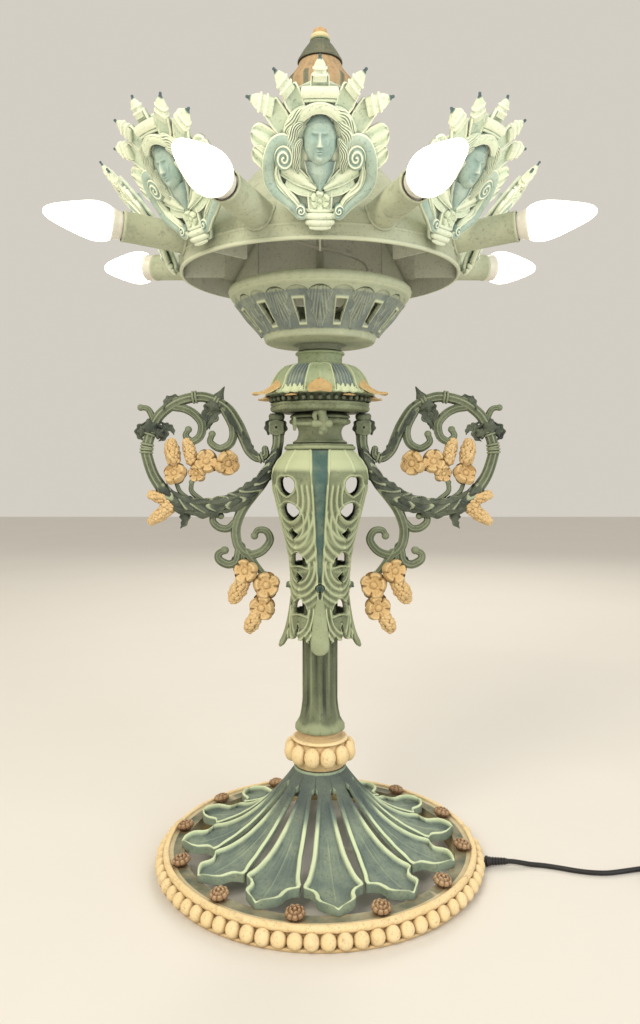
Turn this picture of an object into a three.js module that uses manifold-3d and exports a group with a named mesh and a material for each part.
// Eight-light candelabra lamp made of painted cast-iron and sheet-metal pieces on one threaded tube.
// Millimetres, +Z up, origin at floor level on the lamp's axis. The lamp's front faces -Y.
// Azimuths are in degrees from the front, positive towards +X.
import * as THREE from 'three';
import { mergeVertices } from 'three/addons/utils/BufferGeometryUtils.js';
import Module from 'manifold-3d';

const wasm = await Module();
wasm.setup();

// ---- driving dimensions ----
const gap = 0.3;                    // clearance between touching pieces
const height = 908;                 // floor to finial tip
const baseRadius = 183;             // outside of the bead ring
const petalCount = 12;              // petals of the base, and rosettes between them
const petalPhase = 6.5;             // azimuth of the first base petal
const boreRadius = 5.5;             // hole for the threaded tube in every stacked piece
const tubeRadius = 5;               // M10 threaded tube
const lightCount = 8;               // candle sleeves, bulbs and masks
const drumRadius = 150;             // lamp drum's band
const sleeveRadius = 14.5;          // candle sleeve outside
const sleeveStart = 140;            // inner end of a sleeve, along its own axis from the lamp's axis
const sleeveEnd = 211;              // outer end of a sleeve
const sleeveHeight = 658.5;           // where a sleeve's axis would meet the lamp's axis
const sleeveTilt = 5;               // degrees upwards
const bulbLength = 74;              // visible length of a candle bulb
const bulbRadius = 18.5;
const armOffset = 2.5;              // sideways shift of the arm outline, so it clears the urn
const cordRadius = 2.6;             // mains cord, 5.2 mm diameter
const heights = {                   // joints between the stacked pieces
  rimTop: 20, canopyTop: 108, collarTop: 148, stemTop: 462, urnTop: 466, neckTop: 500,
  plateTop: 510, domeTop: 566, bowlRim: 633, drumFoot: 645, drumTop: 843, skirtTop: 893,
};

// ---- materials ----
const paint = (color, roughness = 0.75, metalness = 0.1) =>
  new THREE.MeshStandardMaterial({ color, roughness, metalness });
const materials = {
  sage: paint(0x8fa88a), petal: paint(0x7f9488), mint: paint(0xb9ccae), cream: paint(0xdccfa4),
  darkGreen: paint(0x5f7a66), drum: paint(0x9aab92),
  steel: paint(0x8a8d8c, 0.4, 0.9), porcelain: paint(0xe8e4da, 0.4, 0), bulb: paint(0xfff6e0, 0.3, 0),
  black: paint(0x1b1b1b, 0.6, 0), grey: paint(0x9a978c, 0.6, 0),
};

// ---- geometry helpers ----
const degrees = THREE.MathUtils.degToRad;
const lamp = new THREE.Group();

// Keeps only positions, welds shared corners and drops collapsed triangles.
function weld(geometry) {
  const plain = geometry.clone();
  plain.deleteAttribute('normal');
  plain.deleteAttribute('uv');
  const merged = mergeVertices(plain, 1e-4);
  const old = merged.index.array;
  const kept = [];
  for (let i = 0; i < old.length; i += 3) {
    const [a, b, c] = [old[i], old[i + 1], old[i + 2]];
    if (a !== b && b !== c && c !== a) kept.push(a, b, c);
  }
  merged.setIndex(kept);
  return merged;
}

// Six times the signed volume: positive when the faces point out.
function signedVolume(geometry) {
  const p = geometry.attributes.position.array;
  const index = geometry.index.array;
  const [a, b, c] = [new THREE.Vector3(), new THREE.Vector3(), new THREE.Vector3()];
  let total = 0;
  for (let i = 0; i < index.length; i += 3) {
    a.fromArray(p, 3 * index[i]);
    b.fromArray(p, 3 * index[i + 1]);
    c.fromArray(p, 3 * index[i + 2]);
    total += a.dot(b.cross(c));
  }
  return total;
}

function facingOut(geometry) {
  const solid = weld(geometry);
  if (signedVolume(solid) < 0) solid.setIndex(Array.from(solid.index.array).reverse());
  return solid;
}

function toManifold(geometry) {
  const solid = facingOut(geometry);
  return new wasm.Manifold(new wasm.Mesh({
    numProp: 3,
    vertProperties: new Float32Array(solid.attributes.position.array),
    triVerts: new Uint32Array(solid.index.array),
  }));
}

function fromManifold(solid) {
  const mesh = solid.getMesh();
  const geometry = new THREE.BufferGeometry();
  geometry.setAttribute('position', new THREE.BufferAttribute(mesh.vertProperties, 3));
  geometry.setIndex(Array.from(mesh.triVerts));
  return geometry;
}

const union = (pieces) => pieces.map(toManifold).reduce((sum, piece) => sum.add(piece));
const without = (geometry, cutters) =>
  fromManifold(cutters.map(toManifold).reduce((rest, cutter) => rest.subtract(cutter), toManifold(geometry)));
const common = (first, second) => fromManifold(toManifold(first).intersect(toManifold(second)));

// Turns a profile of [radius, z] points about the lamp's axis.
function turned(profile, segments = 24) {
  const points = profile.map(([r, z]) => new THREE.Vector2(r, z));
  return new THREE.LatheGeometry(points, segments).rotateX(Math.PI / 2);
}

// The same, for a ring whose profile closes on itself.
const ring = (profile, segments) => turned([...profile, profile[0]], segments);

// Extrudes an outline of [x, y] points from z = low to z = high.
function prism(outline, low, high, holes = []) {
  const shape = new THREE.Shape(outline.map(([x, y]) => new THREE.Vector2(x, y)));
  for (const hole of holes) shape.holes.push(new THREE.Path(hole.map(([x, y]) => new THREE.Vector2(x, y))));
  return new THREE.ExtrudeGeometry(shape, { depth: high - low, bevelEnabled: false }).translate(0, 0, low);
}

const polygon = (sides, radius, start = 0) =>
  Array.from({ length: sides }, (_, i) => {
    const angle = 2 * Math.PI * i / sides + degrees(start);
    return [radius * Math.cos(angle), radius * Math.sin(angle)];
  });

// A round bar along a smooth curve through the points.
function bar(points, radius, steps, sides = 6) {
  const path = new THREE.CatmullRomCurve3(points.map(([x, y, z]) => new THREE.Vector3(x, y, z)));
  const section = new THREE.Shape(polygon(sides, radius).map(([x, y]) => new THREE.Vector2(x, y)));
  return new THREE.ExtrudeGeometry(section, { steps, extrudePath: path });
}

// A point at radius r and azimuth a, as [x, y].
const polar = (r, a) => [r * Math.sin(degrees(a)), -r * Math.cos(degrees(a))];

// Turns a piece drawn for azimuth 0 (radially towards -Y) to another azimuth.
const toAzimuth = (geometry, azimuth) => geometry.rotateZ(degrees(azimuth));

function add(name, geometry, material) {
  const mesh = new THREE.Mesh(facingOut(geometry), material);
  mesh.name = name;
  lamp.add(mesh);
  return mesh;
}

// ---- base ----
const rosetteAzimuth = (k) => petalPhase + 15 + k * 360 / petalCount;

function beadedRim() {
  const body = ring([[148, 0], [178, 0], [baseRadius, 5], [baseRadius, 13], [177, 19], [173, 23],
    [168, 23], [166, heights.rimTop], [148, heights.rimTop]], 40);
  const bosses = [];
  for (let k = 0; k < petalCount; k += 1) {
    const [x, y] = polar(157, rosetteAzimuth(k));
    bosses.push(prism(polygon(6, 8.5), 15, 32).translate(x, y, 0));
  }
  const cordHole = new THREE.CylinderGeometry(4.7, 4.7, 60, 10).rotateZ(Math.PI / 2)
    .translate(baseRadius - 15, glandPlace.y, glandPlace.z);
  return without(fromManifold(union([body, ...bosses])), [cordHole]);
}

// Height of the petals' surface: a trumpet that runs out nearly flat.
const trumpet = (r) => 28 + 80 * ((152 - r) / 125) ** 2.3;

function baseCanopy() {
  const outer = [32, 42, 56, 76, 100, 126, 148].map((r) => [r, trumpet(r)]);
  const inner = [142, 112, 84, 60, 42, 28].map((r) => [r, trumpet(r) - 5.5]);
  const shell = ring([[boreRadius, heights.canopyTop], [28, heights.canopyTop], ...outer, [154, 26],
    [154, heights.rimTop + gap], [144, heights.rimTop + gap], ...inner, [22, 98], [boreRadius, 98]], 24);
  const petalEdge = [[-15, 120], [-9.5, 123], [-8, 138], [0, 155], [8, 138], [9.5, 123]];
  const slotEdge = [[3.4, 38], [4.6, 88], [1.2, 114], [-1.2, 114], [-4.6, 88], [-3.4, 38]];
  const outline = [];
  const slots = [];
  for (let k = 0; k < petalCount; k += 1) {
    const azimuth = petalPhase + k * 360 / petalCount;
    for (const [offset, r] of petalEdge) outline.push(polar(r, azimuth + offset));
    const turn = degrees(azimuth + 15);
    slots.push(slotEdge.map(([half, r]) => [
      r * Math.sin(turn) + half * Math.cos(turn), -r * Math.cos(turn) + half * Math.sin(turn)]));
  }
  return common(shell, prism(outline, 0, 130, slots));
}

function beadCollar() {
  return ring([[boreRadius, 108 + gap], [30, 108 + gap], [37, 113], [40, 118], [40, 128], [34, 135],
    [31, 138], [30, 142], [23, 143], [23, heights.collarTop], [boreRadius, heights.collarTop]]);
}

// ---- shaft and urn ----
function flutedStem() {
  const foot = heights.collarTop + gap;
  const top = heights.stemTop - gap;
  return ring([[boreRadius, foot], [27, foot], [28, 153], [22.5, 165], [19.6, 180], [19.6, top], [boreRadius, top],
    [boreRadius, 452], [15, 448], [15, 164], [boreRadius, 158]]);
}

function urnShell() {
  const shell = ring([[44, 241], [36, 253], [30.6, 293], [32.7, 338], [42, 380], [50, 412], [52.8, 430],
    [47, 447], [36, 461], [35.7, heights.urnTop], [boreRadius, heights.urnTop],
    [boreRadius, heights.stemTop], [24, heights.stemTop], [32, heights.stemTop - 2], [43, 445], [49, 430], [46, 410],
    [29, 338], [27, 293], [32.5, 253], [41, 241]], 20);
  const holes = [[420, 9], [391, 9], [338, 8], [289, 7]];
  const cutters = [];
  for (const azimuth of [45, 135, 225, 315]) {
    for (const [z, r] of holes) {
      cutters.push(toAzimuth(prism(polygon(6, r), 22, 60).rotateX(Math.PI / 2).translate(0, 0, z), azimuth));
    }
  }
  return without(shell, cutters);
}

function urnNeck() {
  const foot = heights.urnTop + gap;
  return ring([[boreRadius, foot], [30, foot], [25.5, 471], [23.6, 479], [26, 487], [33, 491], [33, 496],
    [28, heights.neckTop - gap], [boreRadius, heights.neckTop - gap]]);
}

function armPlate() {
  const foot = heights.neckTop;
  return ring([[boreRadius, foot], [51, foot], [55, 503], [55, heights.plateTop], [boreRadius, heights.plateTop]],
    32);
}

// The lug stands on a pad under the plate; its screw runs sideways through it.
const lugPlace = { y: -43, screwHeight: 486 };

function clampLug() {
  const top = heights.neckTop - gap;
  const hook = prism([[-7, 478], [5, 478], [7, 483], [6, 491], [9, 494], [8, top], [-8, top], [-8, 495], [-3, 492],
    [-7, 488]], -4.5, 4.5).rotateX(Math.PI / 2).translate(0, lugPlace.y, 0);
  const bore = new THREE.CylinderGeometry(2.6, 2.6, 30, 12).rotateZ(Math.PI / 2)
    .translate(0, lugPlace.y, lugPlace.screwHeight);
  return without(hook, [bore]);
}

function thumbScrew() {
  const shank = new THREE.CylinderGeometry(2.2, 2.2, 32, 10).rotateZ(Math.PI / 2).translate(-10, 0, 0);
  const wing = prism([[-29, -7], [-24, -7], [-24, 7], [-29, 7]], -2, 2).rotateX(Math.PI / 2);
  return fromManifold(union([shank, wing])).translate(0, lugPlace.y, lugPlace.screwHeight);
}

// ---- side arms ----
// Outline of the right arm in its own plane, as [sideways, height].
const armStrand = [[45, 478], [46.5, 461], [56, 441], [67, 424], [81, 410], [100, 400], [127, 398], [150, 402],
  [169, 416], [184, 434], [189, 455], [187, 468], [179, 488], [164, 504], [144, 514], [127, 516], [111, 515],
  [99, 507], [88, 491], [84, 472], [79, 457], [69, 450], [60, 454], [58, 462]];
const armBranches = [
  { radius: 3.6, steps: 8, path: [[150, 507], [140, 501], [131, 499], [125, 490], [129, 477], [138, 470], [145, 477]] },
  { radius: 3.6, steps: 7, path: [[87, 490], [91, 476], [98, 466], [108, 461], [117, 466], [116, 476]] },
  { radius: 5, steps: 12, path: [[66, 418], [76, 402], [86, 387], [91, 368], [88, 354], [78, 346], [66, 347], [56, 354],
    [54, 364], [60, 371], [69, 370]] },
  { radius: 3.6, steps: 5, path: [[88, 384], [97, 376], [106, 371], [114, 378], [111, 387]] },
  { radius: 4, steps: 5, path: [[89, 352], [92, 338], [100, 332], [109, 337], [113, 346]] },
  { radius: 4, steps: 5, path: [[70, 347], [62, 338], [58, 322], [55, 305], [61, 285], [74, 268]] },
  { radius: 4, steps: 3, path: [[76, 345], [79, 322], [88, 302]] },
  { radius: 3.6, steps: 3, path: [[181, 480], [184, 495], [190, 508]] },
  { radius: 3.6, steps: 4, path: [[140, 402], [147, 414], [157, 430], [160, 456]] },
  { radius: 3.6, steps: 4, path: [[134, 402], [134, 416], [130, 440], [102, 444]] },
  { radius: 4, steps: 3, path: [[160, 404], [172, 404], [183, 390]] },
];
const armKnobs = [[46, 482, 9.5], [187, 472, 10], [128, 516, 8.5], [158, 510, 8], [128, 445, 11], [102, 444, 11],
  [159, 450, 10], [157, 432, 9], [172, 404, 9], [57, 303, 12], [64, 284, 11], [80, 320, 12], [87, 303, 10]];

function sideArm(side) {
  const place = ([across, z]) => [side * (across + armOffset), 0, z];
  const bars = [bar(armStrand.map(place), 6, 34)];
  bars.push(bar(armStrand.slice(3, 9).map(place), 8.5, 7));
  bars.push(bar([[46, heights.neckTop - gap], [46, 476]].map(place), 8, 1));
  for (const { radius, steps, path } of armBranches) bars.push(bar(path.map(place), radius, steps, 5));
  for (const [across, z, radius] of armKnobs) {
    bars.push(new THREE.IcosahedronGeometry(radius, 0).translate(...place([across, z])));
  }
  return fromManifold(union(bars));
}

// ---- dome, bowl and drum ----
function domeCanopy() {
  const top = heights.domeTop;
  const shell = ring([[boreRadius, top], [24, top], [29, 561], [36.7, 552], [48, 538], [56, 525], [62, 519.5], [86, 517],
    [86, 513.5], [60, 514], [54, heights.plateTop + gap], [48, heights.plateTop + gap], [50, 523], [42, 537],
    [31, 549], [22, 560], [boreRadius, 560]], 24);
  const outline = [];
  for (let k = 0; k < 6; k += 1) {
    for (const [offset, r] of [[-30, 61], [-17, 62], [-13, 78], [0, 86], [13, 78], [17, 62]]) {
      outline.push(polar(r, 60 * k + offset));
    }
  }
  return common(shell, prism(outline, 500, 580));
}

function galleryBowl() {
  const foot = heights.domeTop + gap;
  const shell = ring([[boreRadius, foot], [23.5, foot], [25, 572], [56, 573.5], [61, 578], [66, 586.5], [75, 597.6],
    [86, 611], [96, 626], [93, heights.bowlRim], [86, heights.bowlRim], [80, 615], [70, 601.5], [60, 590],
    [54, 584], [30, 582], [boreRadius, 582]], 24);
  const cutters = [];
  for (let k = 0; k < 12; k += 1) {
    cutters.push(toAzimuth(new THREE.BoxGeometry(10, 50, 18).translate(0, -76, 597.5), 15 + 30 * k));
  }
  return without(shell, cutters);
}

const drumOutside = [[drumRadius, heights.drumFoot], [drumRadius, 670], [77, 742.5], [60, 760], [44, 788], [35, 815],
  [31, heights.drumTop]];

function lampDrum() {
  return ring([...drumOutside, [boreRadius, heights.drumTop], [boreRadius, 839], [27, 839], [31, 814], [41, 786],
    [57, 757], [74, 739.5], [147, 666.5], [147, heights.drumFoot]], 32);
}

// The drum's outside, grown by the gap, which shapes the feet of what is screwed to it.
function drumClearance() {
  const grown = drumOutside.map(([r, z]) => [r + 1.5 * gap, z + gap]);
  return turned([[0, 600], [drumRadius + 1.5 * gap, 600], ...grown, [0, heights.drumTop + gap]], 32);
}

function finialSkirt() {
  return ring([[boreRadius, heights.drumTop + gap], [31, heights.drumTop + gap], [37, 848], [36, 854], [29, 864],
    [22, 875], [11, heights.skirtTop], [boreRadius, heights.skirtTop]], 20);
}

function finialKnob() {
  const foot = heights.skirtTop + gap;
  return turned([[0, height], [5, 905.5], [10, 899], [9, foot], [tubeRadius + gap, foot], [tubeRadius + gap, 901.5],
    [0, 901.5]], 12);
}

// ---- lights ----
const lightAzimuth = (i) => 22.5 + 45 * i;
const maskAzimuth = (i) => 45 * i;

// Puts a piece drawn along +Z on the tilted axis of light i.
function onLight(geometry, i) {
  geometry.rotateX(degrees(90 - sleeveTilt)).translate(0, 0, sleeveHeight);
  return toAzimuth(geometry, lightAzimuth(i));
}

function candleSleeve(i, drum) {
  const tube = ring([[sleeveRadius, sleeveStart - 20], [sleeveRadius, sleeveEnd], [sleeveRadius - 1, sleeveEnd],
    [sleeveRadius - 1, sleeveStart - 20]], 14);
  return fromManifold(toManifold(onLight(tube, i)).subtract(drum));
}

function lampholder(i) {
  const start = 168;
  const body = turned([[0, start], [12.6, start], [12.6, 205], [8, 205], [8, start + 8], [0, start + 8]], 10);
  return onLight(body, i);
}

function bulb(i) {
  const cap = sleeveEnd - 30;
  return onLight(turned([[0, cap], [6.7, cap + 2], [6.7, 205 + gap], [12, sleeveEnd], [17, sleeveEnd + 12],
    [bulbRadius, sleeveEnd + 24], [16.8, sleeveEnd + 40], [11.5, sleeveEnd + 58], [0, sleeveEnd + bulbLength]], 12), i);
}

// A mask leans out along the drum's cone: a curved plate with this front outline.
function mask(i, drum) {
  const side = [[156, 652], [163, 672], [170, 690], [214, 742], [229, 762], [229, 766], [222, 766],
    [158, 694], [150, 676], [149, 652]];
  const half = [[14, 652], [20, 664], [38, 668], [44, 684], [50, 700], [50, 722], [58, 738], [54, 746], [42, 743],
    [36, 757], [22, 752], [8, 766]];
  const front = [...half, ...half.map(([x, z]) => [-x, z]).reverse()];
  const plate = prism(side, -60, 60).rotateX(Math.PI / 2).rotateZ(-Math.PI / 2);
  const outline = prism(front, 100, 260).rotateX(Math.PI / 2);
  const head = new THREE.IcosahedronGeometry(1, 0).scale(15, 14, 22).translate(0, -182, 705);
  const solid = toManifold(plate).intersect(toManifold(outline)).add(toManifold(head)).subtract(drum);
  return toAzimuth(fromManifold(solid), maskAzimuth(i));
}

// ---- tube, nuts and wiring ----
const glandPlace = { y: -22, z: 6 };
const glandInside = 160;            // inner end of the strain relief
const glandOutside = 207;           // its tapered outer end

function threadedTube() {
  const bore = 3.3;
  const tube = ring([[tubeRadius, 82], [tubeRadius, 900], [bore, 900], [bore, 82]], 12);
  const window = new THREE.BoxGeometry(10, 6.4, 30).translate(6, 0, 601);
  return without(tube, [window]);
}

const hexNut = (low, high) => prism(polygon(6, 9.8), low, high, [polygon(12, tubeRadius + gap)]);

function feedCable() {
  const inBase = [[glandInside - gap, glandPlace.y, glandPlace.z], [140, glandPlace.y, 6], [100, -14, 4], [50, -4, 5],
    [16, 0, 16], [2, 0, 40], [0, 0, 70]];
  const inTube = [[0, 0, 95], [0, 0, 240], [0, 0, 420], [0, 0, 575], [0.4, 0, 592]];
  const inDrum = [[8, 0, 606], [24, 0, 614], [44, 0, 630], [52, -2, 648], [46, -8, 662], [18, -16, 670], [-14, -18, 676],
    [-38, -12, 690], [-46, -6, 703]];
  return bar([...inBase, ...inTube, ...inDrum], 2.1, 54, 6);
}

function terminalBlock() {
  return prism([[-12, -8], [12, -8], [12, 8], [-12, 8]], 704.5, 716).translate(-44, -4, 0);
}

function cordGland() {
  const wall = baseRadius + gap;
  const sleeve = turned([[0, glandInside], [4.3, glandInside], [4.3, wall], [5.8, wall], [5.8, wall + 2],
    [4.8, wall + 4], [3.4, glandOutside], [0, glandOutside]], 10);
  return sleeve.rotateY(Math.PI / 2).translate(0, glandPlace.y, glandPlace.z);
}

const coilPlace = { x: 392, y: -70.4, radius: 32, half: 13.4, height: 10.8 };
const plugPlace = { x: coilPlace.x + 37.3, y: coilPlace.y - 65.1 };
const cordRoute = [[glandOutside + gap, -22, 6], [214, -22, 5.6], [222, -22.2, 4.4], [232, -23, 3.1], [246, -25, 2.7],
  [262, -30, 2.7], [278, -36, 2.7], [294, -40, 2.7], [310, -41, 2.7], [326, -38, 2.7], [342, -34, 2.7],
  [356, -30.8, 2.7], [365.5, -29.2, 2.7]];

function mainsCord() {
  return bar(cordRoute, cordRadius, 26, 8);
}

function cordCoil() {
  const { radius, half, height: top } = coilPlace;
  return ring([[radius - half, 0], [radius + half, 0], [radius + half, top], [radius - half, top]], 24)
    .translate(coilPlace.x, coilPlace.y, 0);
}

// Two-pin mains plug lying beside the coil, its pins towards -Y.
function mainsPlug() {
  const body = prism([[-34, 3], [-17, 4.5], [-10, 8.5], [12, 13], [18, 11], [18, -11], [12, -13], [-10, -8.5],
    [-17, -4.5], [-34, -3]], 0, 14);
  const pins = [-9.5, 9.5].map((y) =>
    new THREE.CylinderGeometry(2.4, 2.4, 20, 8).rotateZ(Math.PI / 2).translate(27, y, 7));
  return fromManifold(union([body, ...pins])).rotateZ(-Math.PI / 2).translate(plugPlace.x, plugPlace.y, 0);
}

// ---- assembly ----
const drumGrown = toManifold(drumClearance());
add('beaded_rim', beadedRim(), materials.cream);
add('base_canopy', baseCanopy(), materials.petal);
add('bead_collar', beadCollar(), materials.cream);
add('fluted_stem', flutedStem(), materials.sage);
add('urn_shell', urnShell(), materials.sage);
add('urn_neck', urnNeck(), materials.sage);
add('arm_plate', armPlate(), materials.sage);
add('arm_left', sideArm(-1), materials.darkGreen);
add('arm_right', sideArm(1), materials.darkGreen);
add('clamp_lug', clampLug(), materials.sage);
add('thumb_screw', thumbScrew(), materials.sage);
add('dome_canopy', domeCanopy(), materials.sage);
add('gallery_bowl', galleryBowl(), materials.petal);
add('lamp_drum', lampDrum(), materials.drum);
add('finial_skirt', finialSkirt(), materials.sage);
add('finial_knob', finialKnob(), materials.cream);
add('threaded_tube', threadedTube(), materials.steel);
add('base_nut', hexNut(86, 95.4), materials.steel);
add('base_washer', ring([[6, 95.7], [17, 95.7], [17, 97.7], [6, 97.7]], 20), materials.steel);
add('drum_nut', hexNut(830, 838.7), materials.steel);
add('feed_cable', feedCable(), materials.grey);
add('terminal_block', terminalBlock(), materials.porcelain);
add('cord_gland', cordGland(), materials.black);
add('mains_cord', mainsCord(), materials.black);
add('cord_coil', cordCoil(), materials.black);
add('mains_plug', mainsPlug(), materials.black);
for (let i = 0; i < lightCount; i += 1) {
  add(`mask_${i + 1}`, mask(i, drumGrown), materials.mint);
  add(`candle_sleeve_${i + 1}`, candleSleeve(i, drumGrown), materials.drum);
  add(`lampholder_${i + 1}`, lampholder(i), materials.porcelain);
  add(`bulb_${i + 1}`, bulb(i), materials.bulb);
}

export default lamp;
